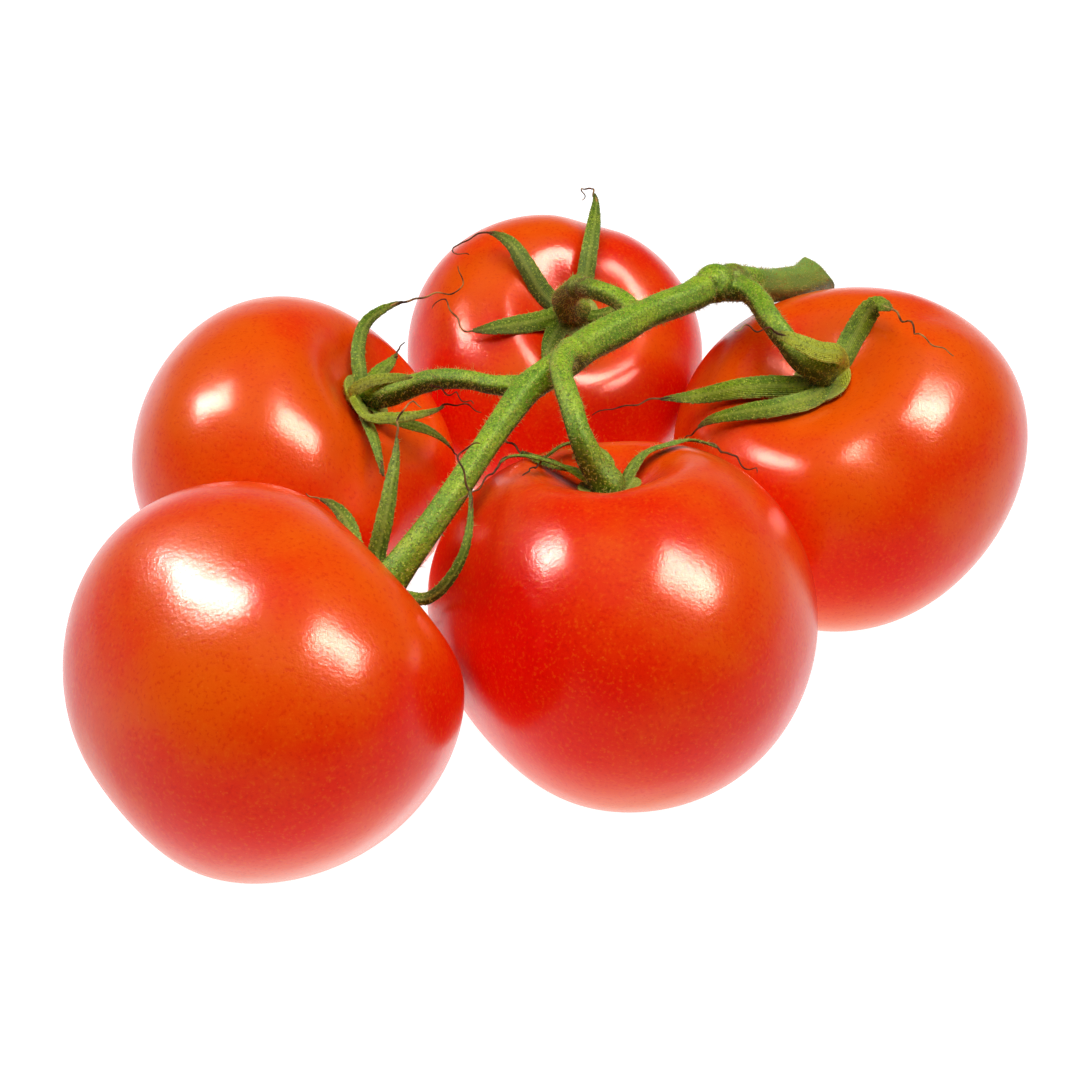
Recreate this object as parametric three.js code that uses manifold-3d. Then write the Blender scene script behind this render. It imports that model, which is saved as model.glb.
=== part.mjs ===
// A truss of five ripe tomatoes lying on a surface, in millimetres, +Z up.
// Pieces: the green vine (main stem with its five fruit stalks), a calyx of sepals
// for each fruit, and the five fruits. The origin is under the middle of the bunch.
import * as THREE from 'three';
import Module from 'manifold-3d';
import { mergeVertices } from 'three/addons/utils/BufferGeometryUtils.js';

const wasm = await Module();
wasm.setup();

// Fruits: the place of each centre, the radius across, the height as a share of the radius,
// the heading and rise of the stem axis in degrees, how much wider the stem half is,
// and the two-lobed and three-lobed swell round the axis as [share of radius, direction].
// The dimple round the stalk is [depth as a share of height, width as a share of radius].
// A groove is [direction, depth as a share of radius, half width in degrees].
const FRUITS = {
  1: {
    centre: [-50.6, -59.4, 35.7], radius: 34.5, height: 0.913, heading: 40, rise: 27, shoulder: 0.028,
    oval: [0.025, -48], threefold: [0.093, 30], dimple: [0.33, 0.37], grooves: [],
  },
  2: {
    centre: [7.3, -31.5, 32.9], radius: 36.4, height: 0.91, heading: 120, rise: 70, shoulder: 0.01,
    oval: [0.085, 89], threefold: [0.055, 58], dimple: [0.33, 0.28], grooves: [[62, 0.015, 12]],
  },
  3: {
    centre: [54.6, 27, 33.4], radius: 37.3, height: 0.897, heading: -147, rise: 63, shoulder: 0.042,
    oval: [0.022, -56], threefold: [0.029, -51], dimple: [0.33, 0.37], grooves: [[80, 0.02, 14]],
  },
  4: {
    centre: [-8.5, 61.4, 30.8], radius: 34.8, height: 0.873, heading: -70, rise: 59, shoulder: 0.051,
    oval: [0.025, 60], threefold: [0.021, 10], dimple: [0.33, 0.37], grooves: [[66, 0.045, 13]],
  },
  5: {
    centre: [-60.1, 13.4, 31.2], radius: 34.7, height: 0.872, heading: -1, rise: 48, shoulder: 0.059,
    oval: [0.044, -22], threefold: [0.031, 39], dimple: [0.33, 0.37], grooves: [],
  },
};
const TIP_HOLLOW_DEPTH = 0.05;
const TIP_HOLLOW_WIDTH = 0.35;
const GROOVE_MIDDLE = 42;
const GROOVE_REACH = 26;
const FRUIT_SIDES = 36;
const FRUIT_RINGS = 20;
const RING_CROWDING = 1.2;

// The receptacle is the green pad in each dimple that the sepals grow from.
const PAD_REACH = 11;
const PAD_GAP = 0.55;
const PAD_THICKNESS = 1.5;
const PAD_SIDES = 14;

// Sepals are thin blades that end in a dried thread.
const SEPAL_THICKNESS = 0.8;
const THREAD = 0.75;
const SEPAL_ARCH = 0.12;
const SEPAL_STEPS = 12;

// The vine: points of each stretch as [x, y, z, stem radius].
const MAIN_STEM = [
  [56, 76, 55, 5.4],
  [49, 67, 56.3, 4.4],
  [44.5, 59.5, 57.8, 3.5],
  [36.5, 51.5, 60, 3.6],
  [29.5, 44.5, 63.5, 3.8],
  [23.5, 39, 65.5, 3.7],
  [18, 31.5, 66, 3],
  [10, 24, 66, 3],
  [4, 16.5, 66, 3.3],
  [-2, 9, 66, 3.3],
  [-7, 1, 65.5, 3.1],
  [-12.5, -5, 64, 2.8],
  [-16.5, -13.5, 62, 2.4],
  [-20, -22, 60, 2.3],
  [-23.5, -30, 57.5, 2.3],
  [-27, -36.5, 54.5, 2.4],
  [-31, -42, 50.5, 2.7],
  [-34, -45.4, 46.8, 3.1],
];
const STALKS = {
  2: [
    [-4, 5, 66, 2.6],
    [-6.5, -1.5, 68.8, 2.4],
    [-6.8, -9, 69.5, 2],
    [-5, -16.2, 68.2, 2],
    [-2.9, -21.1, 65, 2.1],
    [-0.4, -22.7, 60.5, 2.5],
    [2.9, -23.8, 56.8, 3],
  ],
  3: [
    [25, 41, 64.5, 2.8],
    [30.5, 37, 65.5, 2.4],
    [34, 26.5, 65, 2.3],
    [37.5, 22.5, 62.5, 2.3],
    [41, 20.3, 60, 2.9],
    [43.6, 20.3, 59, 3.2],
    [44.8, 20.8, 57.3, 3.3],
  ],
  4: [
    [8, 22, 65.5, 2.4],
    [3.5, 28.4, 66, 2.1],
    [-1, 31.5, 66, 2],
    [-4.7, 36.8, 63.5, 2.2],
    [-6.8, 41.7, 58.5, 2.6],
    [-6.3, 46, 54, 3],
    [-4.3, 50, 51.2, 3.3],
  ],
  5: [
    [-11, -4, 64, 2.2],
    [-18.8, -3.2, 63, 1.8],
    [-23.7, 0.4, 61.5, 1.8],
    [-29.6, 4.1, 59, 2],
    [-34.7, 7, 55.5, 2.2],
    [-39.7, 9, 52, 2.6],
    [-44.3, 13, 48.8, 3],
  ],
};
const STEM_SIDES = 12;
const STALK_SIDES = 10;
const STEM_STEPS = 38;
const STALK_STEPS = 16;
const CUT_CENTRE = [49.4, 68.4, 56];
const CUT_DIRECTION = [0.6, 0.4, 0.7];
const STEM_ROOM = 0.6;

// Each sepal: the width of its blade, where along it the thread starts, and its route.
// A blade faces away from its fruit, or the way that facing says where it stands up.
const SEPALS = {
  1: [
    { width: 3.6, blade: 0.72, facing: [0.3, -0.8, 0.5], route: [[-35.8, -45.5, 47.5], [-35.6, -42.5, 51],
      [-34.6, -39, 56.5], [-33.8, -31, 63.5], [-33.8, -23, 68], [-31.9, -20.2, 69], [-30.6, -21, 68]] },
    { width: 3, blade: 0.9, route: [[-36.5, -45, 47], [-40, -37.7, 48.5], [-42, -31.7, 50], [-45, -28, 51],
      [-50, -26, 51.5]] },
    { width: 2.4, blade: 0.75, facing: [0.4, -0.7, 0.6], route: [[-35, -47, 46.5], [-31.4, -48, 48.2],
      [-26, -51, 50.5], [-22.4, -51, 55], [-20.2, -48.5, 60], [-20.4, -41, 65.5], [-22.8, -36.5, 69],
      [-21, -35, 70], [-19.3, -33.8, 70]] },
    { width: 3.2, blade: 0.8, route: [[-34.5, -45, 46], [-30.5, -39.5, 41.5], [-29, -34.5, 34],
      [-29.5, -31.5, 27]] },
    { width: 3.2, blade: 0.8, route: [[-35.5, -45, 46.5], [-35.5, -37.5, 44.5], [-37, -31, 40],
      [-39.5, -26, 34]] },
  ],
  2: [
    { width: 3.4, blade: 0.6, route: [[2.5, -24, 55.2], [-0.5, -21.7, 57.2], [-6.5, -20.5, 58],
      [-13.4, -12.5, 55.2], [-17.9, -9, 55.5], [-19.5, -11.5, 53.5], [-20.5, -15.5, 53]] },
    { width: 3, blade: 0.7, route: [[4.5, -24, 55.2], [8.4, -17.7, 59.6], [12.8, -15.5, 60.8],
      [17.3, -13.5, 60.8], [22.2, -17, 61.6], [28.2, -24.5, 62]] },
    { width: 2.6, blade: 0.7, route: [[3.5, -23, 55.2], [2, -16.5, 58.2], [-1.5, -13.5, 58.4],
      [-5, -13.5, 58], [-8.5, -20, 59.2], [-12, -30.5, 62]] },
    { width: 2, blade: 0.65, route: [[2.5, -24.5, 55.4], [-6, -22.7, 59.5], [-14.4, -24.2, 61.6],
      [-18.4, -33, 62], [-22.4, -37.5, 60.5]] },
  ],
  3: [
    { width: 4.8, blade: 0.55, route: [[46.5, 21.5, 55.7], [48.5, 23, 58], [51.5, 27, 63.3],
      [53.5, 28.5, 67.5], [55, 27.5, 69.5], [58.5, 22.5, 69.8], [62, 14.5, 69.5], [68, 14, 67]] },
    { width: 4.6, blade: 0.7, route: [[45, 20.5, 55.2], [41, 19, 54.8], [35, 18.5, 54.5], [29, 18.5, 53.5],
      [21, 20, 50], [12.5, 19, 49], [6.5, 17.5, 48], [0, 15.5, 46.5]] },
    { width: 3.8, blade: 0.85, route: [[46, 19.5, 55.2], [43.5, 15.5, 54.8], [36.5, 12, 54], [29, 12.5, 51.5],
      [23, 14, 48], [19, 16.5, 41]] },
    { width: 3.2, blade: 0.7, facing: [0.2, -0.6, 0.8], route: [[47.8, 20.9, 55.8], [48.6, 20.8, 60],
      [47.5, 19.3, 62.4], [42.7, 16.7, 64.3], [36.8, 16.7, 66.5], [31.7, 16.4, 68], [27.8, 16.4, 68.5],
      [25.9, 15.2, 67.5]] },
  ],
  4: [
    { width: 4.4, blade: 0.75, facing: [0.2, -0.8, 0.5], route: [[-4, 52, 50.8], [-3, 55.5, 55],
      [-2.3, 60.5, 61], [-1.7, 68, 65], [-1.8, 75.7, 66.5], [-3.1, 80.6, 66.5], [-5.1, 78, 66.5],
      [-4.7, 74, 66.5]] },
    { width: 4.2, blade: 0.65, route: [[-5.5, 51.5, 50.8], [-11, 51, 53.5], [-16, 53.5, 59.5], [-20, 57, 63],
      [-24.5, 59.5, 63.5], [-30, 58, 62], [-31.5, 54, 61], [-28.5, 51.5, 61.5]] },
    { width: 4.2, blade: 0.65, route: [[-5.5, 51, 50.8], [-12, 45, 51], [-20, 40, 51.5], [-27.5, 39.5, 50.5],
      [-30.5, 42, 52.5], [-32.5, 45, 54.5], [-35, 43.5, 52.5]] },
    { width: 5.2, blade: 0.95, route: [[-5, 50, 50.8], [-7.5, 45.5, 50], [-9.5, 39, 48.8],
      [-10.5, 33, 45.5]] },
    { width: 3.4, blade: 0.9, route: [[-4, 50.5, 50.8], [0.5, 48.5, 51.5], [5, 49, 53.5], [8, 52, 54]] },
  ],
  5: [
    { width: 3.6, blade: 0.6, facing: [0.5, -0.7, 0.5], route: [[-45.8, 14, 48.5], [-46.5, 16, 51.5],
      [-47.4, 20, 54.5], [-46.9, 26.9, 57], [-43.3, 33.8, 57.5], [-37.2, 38.7, 57.5], [-32.3, 41.8, 57.5],
      [-28.4, 42.6, 59], [-30, 45.6, 62]] },
    { width: 4, blade: 0.8, route: [[-45, 14.5, 48.5], [-43.5, 20, 49.5], [-41, 25, 50.5],
      [-39.5, 29.5, 52]] },
    { width: 3.4, blade: 0.8, route: [[-46, 12.5, 48.5], [-45.5, 5, 51.5], [-42, -1.5, 53], [-36.4, -2.5, 54],
      [-31, -0.7, 54.5], [-26.6, 2.8, 54.5], [-21.4, 3.2, 53]] },
    { width: 3.2, blade: 0.85, route: [[-44.5, 12, 47.5], [-40.5, 7.5, 47.5], [-36, 6, 47.3], [-32, 6.3, 46],
      [-28.8, 7.5, 43], [-26, 9.5, 37.5]] },
    { width: 4, blade: 0.9, route: [[-45.5, 11.5, 48], [-44, 4, 50.2], [-40.8, -5.5, 50.5], [-38.8, -11, 48],
      [-37.3, -13.5, 44.5]] },
  ],
};

const RED = new THREE.MeshStandardMaterial({ color: 0xd92a0a, roughness: 0.22, metalness: 0 });
const STEM_GREEN = new THREE.MeshStandardMaterial({ color: 0x6a9a35, roughness: 0.65, metalness: 0 });
const SEPAL_GREEN = new THREE.MeshStandardMaterial({ color: 0x5c8a2c, roughness: 0.7, metalness: 0 });

const radians = THREE.MathUtils.degToRad;
const vector = (list) => new THREE.Vector3(list[0], list[1], list[2]);

// The local directions of a fruit: along its stem axis and two across it.
function axesOf(fruit) {
  const heading = radians(fruit.heading);
  const rise = radians(fruit.rise);
  const along = new THREE.Vector3(
    Math.cos(rise) * Math.cos(heading), Math.cos(rise) * Math.sin(heading), Math.sin(rise));
  const across = new THREE.Vector3(0, 0, 1).cross(along).normalize();
  const third = along.clone().cross(across);
  return { along, across, third };
}

const bump = (x) => Math.exp(-x * x);

// A point of the fruit's skin, from its centre: polar 0 is in the dimple, polar PI is the far tip.
function skinPoint(fruit, axes, polar, turn) {
  const sine = Math.sin(polar);
  const cosine = Math.cos(polar);
  const [oval, ovalTurn] = fruit.oval;
  const [three, threeTurn] = fruit.threefold;
  const [dimpleDepth, dimpleWidth] = fruit.dimple;
  const swell = oval * Math.cos(2 * (turn - radians(ovalTurn)))
    + three * Math.cos(3 * (turn - radians(threeTurn)));
  const radial = fruit.radius * sine * (1 + fruit.shoulder * cosine) * (1 + swell * sine);
  const hollow = polar < Math.PI / 2
    ? -dimpleDepth * bump(sine / dimpleWidth)
    : TIP_HOLLOW_DEPTH * bump(sine / TIP_HOLLOW_WIDTH);
  const height = fruit.height * fruit.radius * (cosine + hollow);
  const point = axes.along.clone().multiplyScalar(height)
    .addScaledVector(axes.across, radial * Math.cos(turn))
    .addScaledVector(axes.third, radial * Math.sin(turn));
  for (const [direction, depth, halfWidth] of fruit.grooves) {
    const away = Math.atan2(Math.sin(turn - radians(direction)), Math.cos(turn - radians(direction)));
    const reach = bump((polar - radians(GROOVE_MIDDLE)) / radians(GROOVE_REACH));
    point.multiplyScalar(1 - depth * bump(away / radians(halfWidth)) * reach);
  }
  return point;
}

// Moves every vertex of a geometry by a rule.
function reshape(geometry, rule) {
  const position = geometry.attributes.position;
  for (let i = 0; i < position.count; i += 1) {
    const moved = rule(position.getX(i), position.getY(i), position.getZ(i));
    position.setXYZ(i, moved.x, moved.y, moved.z);
  }
  return geometry;
}

function solidOf(geometry) {
  const plain = geometry.clone();
  plain.deleteAttribute('normal');
  plain.deleteAttribute('uv');
  const merged = mergeVertices(plain, 1e-4);
  const vertProperties = new Float32Array(merged.attributes.position.array);
  const triVerts = new Uint32Array(merged.index.array);
  return new wasm.Manifold(new wasm.Mesh({ numProp: 3, vertProperties, triVerts }));
}

function geometryOf(solid) {
  const mesh = solid.getMesh();
  const geometry = new THREE.BufferGeometry();
  geometry.setAttribute('position', new THREE.BufferAttribute(mesh.vertProperties, 3));
  geometry.setIndex(new THREE.BufferAttribute(mesh.triVerts, 1));
  geometry.computeVertexNormals();
  return geometry;
}

function unite(geometries) {
  return geometries.map(solidOf).reduce((all, one) => all.add(one));
}

function named(name, solid, material) {
  const mesh = new THREE.Mesh(geometryOf(solid), material);
  mesh.name = name;
  return mesh;
}

// A tomato: a sphere moved onto the skin, with a small flat where its weight rests on the surface.
function makeFruit(fruit) {
  const axes = axesOf(fruit);
  const centre = vector(fruit.centre);
  const sphere = reshape(new THREE.SphereGeometry(1, FRUIT_SIDES, FRUIT_RINGS), (x, y, z) => {
    const share = Math.acos(THREE.MathUtils.clamp(y, -1, 1)) / Math.PI;
    const polar = Math.PI * share ** RING_CROWDING;
    return skinPoint(fruit, axes, polar, Math.atan2(-z, x)).add(centre);
  });
  const below = new THREE.BoxGeometry(100, 100, 20);
  below.translate(centre.x, centre.y, -10);
  return solidOf(sphere).subtract(solidOf(below));
}

// A stretch of stem: a cylinder bent along a smooth curve, its radius following the listed ones.
function makeStem(points, sides, steps) {
  const curve = new THREE.CatmullRomCurve3(points.map(vector), false, 'centripetal');
  const frames = curve.computeFrenetFrames(steps, false);
  return reshape(new THREE.CylinderGeometry(1, 1, 1, sides, steps), (x, y, z) => {
    const step = Math.round((0.5 - y) * steps);
    const place = (step / steps) * (points.length - 1);
    const first = Math.min(Math.floor(place), points.length - 2);
    const radius = THREE.MathUtils.lerp(points[first][3], points[first + 1][3], place - first);
    return curve.getPoint(step / steps)
      .addScaledVector(frames.normals[step], radius * x)
      .addScaledVector(frames.binormals[step], radius * z);
  });
}

// The picked end is cut on a slant.
function makeCutter() {
  const size = 40;
  const slant = vector(CUT_DIRECTION).normalize();
  const cutter = new THREE.BoxGeometry(size, size, size);
  cutter.applyQuaternion(new THREE.Quaternion().setFromUnitVectors(new THREE.Vector3(0, 0, 1), slant));
  const middle = vector(CUT_CENTRE).addScaledVector(slant, size / 2);
  cutter.translate(middle.x, middle.y, middle.z);
  return solidOf(cutter);
}

function makeVine() {
  const main = makeStem(MAIN_STEM, STEM_SIDES, STEM_STEPS);
  const stalks = Object.values(STALKS).map((points) => makeStem(points, STALK_SIDES, STALK_STEPS));
  return unite([main, ...stalks]).subtract(makeCutter());
}

// The end of a stalk with a little room round it, which its calyx keeps free.
function makeStalkRoom(points) {
  const room = points.map(([x, y, z, radius]) => [x, y, z, radius + STEM_ROOM]);
  const last = vector(points.at(-1));
  const beyond = last.clone().sub(vector(points.at(-2))).setLength(STEM_ROOM).add(last);
  room.push([beyond.x, beyond.y, beyond.z, room.at(-1)[3]]);
  return solidOf(makeStem(room, STALK_SIDES, STEM_STEPS));
}

// A sepal: a thin box bent along its route, widest a quarter of the way out and ending in a thread.
function makeSepal(sepal, fruit) {
  const curve = new THREE.CatmullRomCurve3(sepal.route.map(vector), false, 'centripetal');
  const heart = vector(fruit.centre);
  return reshape(new THREE.BoxGeometry(1, 1, 1, 2, 1, SEPAL_STEPS), (x, y, z) => {
    const along = z + 0.5;
    const place = curve.getPointAt(along);
    const forward = curve.getTangentAt(along);
    const outward = sepal.facing ? vector(sepal.facing) : place.clone().sub(heart);
    const side = outward.cross(forward).normalize();
    const upward = forward.clone().cross(side);
    const share = Math.min(along / sepal.blade, 1);
    const width = THREAD + (sepal.width - THREAD) * Math.cos((share ** 1.5) * Math.PI / 2) ** 0.8
      * (0.72 + 0.28 * Math.sin(Math.min(share * 4, 1) * Math.PI / 2));
    const arch = -SEPAL_ARCH * sepal.width * (2 * x) ** 2 * (1 - share);
    return place.addScaledVector(side, width * x).addScaledVector(upward, SEPAL_THICKNESS * y + arch);
  });
}

// The pad under the sepals follows the floor of the dimple, a little above it.
function makePad(fruit) {
  const axes = axesOf(fruit);
  const centre = vector(fruit.centre);
  return reshape(new THREE.CylinderGeometry(1, 1, 1, PAD_SIDES, 1), (x, y, z) => {
    const out = Math.hypot(x, z);
    const skin = skinPoint(fruit, axes, radians(PAD_REACH) * out, Math.atan2(-z, x));
    const lift = PAD_GAP + PAD_THICKNESS * (y + 0.5);
    return skin.setLength(skin.length() + lift).add(centre);
  });
}

const truss = new THREE.Group();
truss.add(named('vine', makeVine(), STEM_GREEN));
for (const [number, fruit] of Object.entries(FRUITS)) {
  const blades = SEPALS[number].map((sepal) => makeSepal(sepal, fruit));
  const calyx = unite([makePad(fruit), ...blades]).subtract(makeStalkRoom(STALKS[number] ?? MAIN_STEM));
  truss.add(named(`calyx_${number}`, calyx, SEPAL_GREEN));
  truss.add(named(`fruit_${number}`, makeFruit(fruit), RED));
}

export default truss;
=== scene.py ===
"""A truss of five ripe tomatoes on its green vine: glossy skins, downy stems, sepals with dried tips,
on a pale floor in soft studio light. Places are in millimetres and become metres when a mesh is made."""

import math

import bmesh
import bpy
import numpy as np
from mathutils import Matrix, Vector
from mathutils.kdtree import KDTree


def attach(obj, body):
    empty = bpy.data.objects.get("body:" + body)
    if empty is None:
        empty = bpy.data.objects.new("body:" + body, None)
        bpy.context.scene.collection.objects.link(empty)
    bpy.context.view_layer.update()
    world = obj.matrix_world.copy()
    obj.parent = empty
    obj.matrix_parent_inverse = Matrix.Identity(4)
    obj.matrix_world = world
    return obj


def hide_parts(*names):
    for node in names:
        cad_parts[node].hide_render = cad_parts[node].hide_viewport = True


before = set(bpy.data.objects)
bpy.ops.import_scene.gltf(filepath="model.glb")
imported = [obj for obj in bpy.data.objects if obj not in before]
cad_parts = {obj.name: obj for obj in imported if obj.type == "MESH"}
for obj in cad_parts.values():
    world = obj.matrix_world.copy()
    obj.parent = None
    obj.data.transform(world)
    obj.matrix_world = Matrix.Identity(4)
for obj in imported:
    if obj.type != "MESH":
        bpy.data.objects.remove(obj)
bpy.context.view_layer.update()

MM = 0.001

# Camera: aimed at CAMERA_TARGET on the floor from CAMERA_DISTANCE away, raised and rolled in degrees.
CAMERA_TARGET = (-8.45, 34.6, 0.0)
CAMERA_DISTANCE = 340.0
CAMERA_RISE = 36.8
CAMERA_ROLL = -4.3
LENS = 49.33
SENSOR_WIDTH = 36
CLIP_START = 10

# Fruits: centre, radius across, height share, heading and rise of the stem axis, wider stem half,
# two-lobed and three-lobed swell [share, direction], dimple [depth, width], grooves [direction, depth,
# half width], dents [polar, turn, spread along, spread round, height in mm], and how much orange is left.
# Angles are in degrees.
FRUITS = {
    1: dict(centre=(-50.6, -59.4, 35.7), radius=34.5, height=0.913, heading=40, rise=27, shoulder=0.028,
            oval=(0.025, -48), threefold=(0.093, 30), dimple=(0.33, 0.37), grooves=[], dents=[], warm=0.42),
    2: dict(centre=(7.3, -31.5, 32.9), radius=36.4, height=0.91, heading=120, rise=70, shoulder=0.01,
            oval=(0.085, 89), threefold=(0.055, 58), dimple=(0.33, 0.28), grooves=[(62, 0.015, 12)],
            dents=[(30, 62, 12, 7, -1.0)], warm=0.3),
    3: dict(centre=(54.6, 27, 33.4), radius=37.3, height=0.897, heading=-147, rise=63, shoulder=0.042,
            oval=(0.022, -56), threefold=(0.029, -51), dimple=(0.33, 0.37), grooves=[(80, 0.02, 14)],
            dents=[(40, -11, 16, 9, -1.0), (44, -41, 14, 9, 1.1), (42, 90, 12, 8, -1.0)], warm=0.52),
    4: dict(centre=(-8.5, 61.4, 30.8), radius=34.8, height=0.873, heading=-70, rise=59, shoulder=0.051,
            oval=(0.025, 60), threefold=(0.021, 10), dimple=(0.33, 0.37), grooves=[(66, 0.045, 13)],
            dents=[(36, 172, 8, 24, -0.9), (36, 135, 16, 10, -1.0), (38, -20, 16, 12, -1.2)], warm=0.3),
    5: dict(centre=(-60.1, 13.4, 31.2), radius=34.7, height=0.872, heading=-1, rise=48, shoulder=0.059,
            oval=(0.044, -22), threefold=(0.031, 39), dimple=(0.33, 0.37), grooves=[],
            dents=[(35, -175, 14, 9, -1.2), (60, -157, 13, 13, 2.0)], warm=0.52),
}
TIP_HOLLOW_DEPTH = 0.05
TIP_HOLLOW_WIDTH = 0.35
GROOVE_MIDDLE = 42
GROOVE_REACH = 26
FRUIT_SIDES = 220
FRUIT_RINGS = 150
RING_CROWDING = 1.1

# The pad that the sepals grow from follows the skin of the dimple. Its reach is an angle in degrees, and
# its section runs from its top round its rim to its underside, in shares of the reach and the thickness.
PAD_REACH = 8.5
PAD_GAP = 0.3
PAD_THICKNESS = 1.5
PAD_SIDES = 40
PAD_SECTION = [
    (0.12, 1.0), (0.4, 1.0), (0.7, 0.95), (0.9, 0.85), (1.0, 0.7),
    (1.0, 0.35), (0.9, 0.15), (0.7, 0.05), (0.4, 0.0), (0.12, 0.0),
]

# Blades of the sepals. The waist is the width next to the pad, the arch lets the edges hang, and the rib
# stands out more below than on top. The thickness and the rib's height are in millimetres, hold and taper
# are powers, and the other sizes are shares.
SEPAL_THICKNESS = 0.75
SEPAL_HOLD = 1.5
SEPAL_TAPER = 0.8
SEPAL_WAIST = 0.72
SEPAL_WAIST_LENGTH = 0.25
SEPAL_ARCH = 0.12
SEPAL_ROLL = 0.075
THINNING_TO_TIP = 0.35
THINNING_TO_EDGE = 0.3
RIB_HEIGHT = 0.16
RIB_HALF_WIDTH = 0.22
RIB_ABOVE = 0.7
RIB_BELOW = -1.6
BLADE_STEPS = 110
BLADE_SIDES = 18

# Dried threads at the ends of the sepals. Each starts inside its blade, at a share of the blade's length.
THREAD_WIDTH = 0.52
THREAD_TIP_WIDTH = 0.22
THREAD_START = 0.86
THREAD_KINK = 1.2
THREAD_STEPS = 160
THREAD_SIDES = 8

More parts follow.
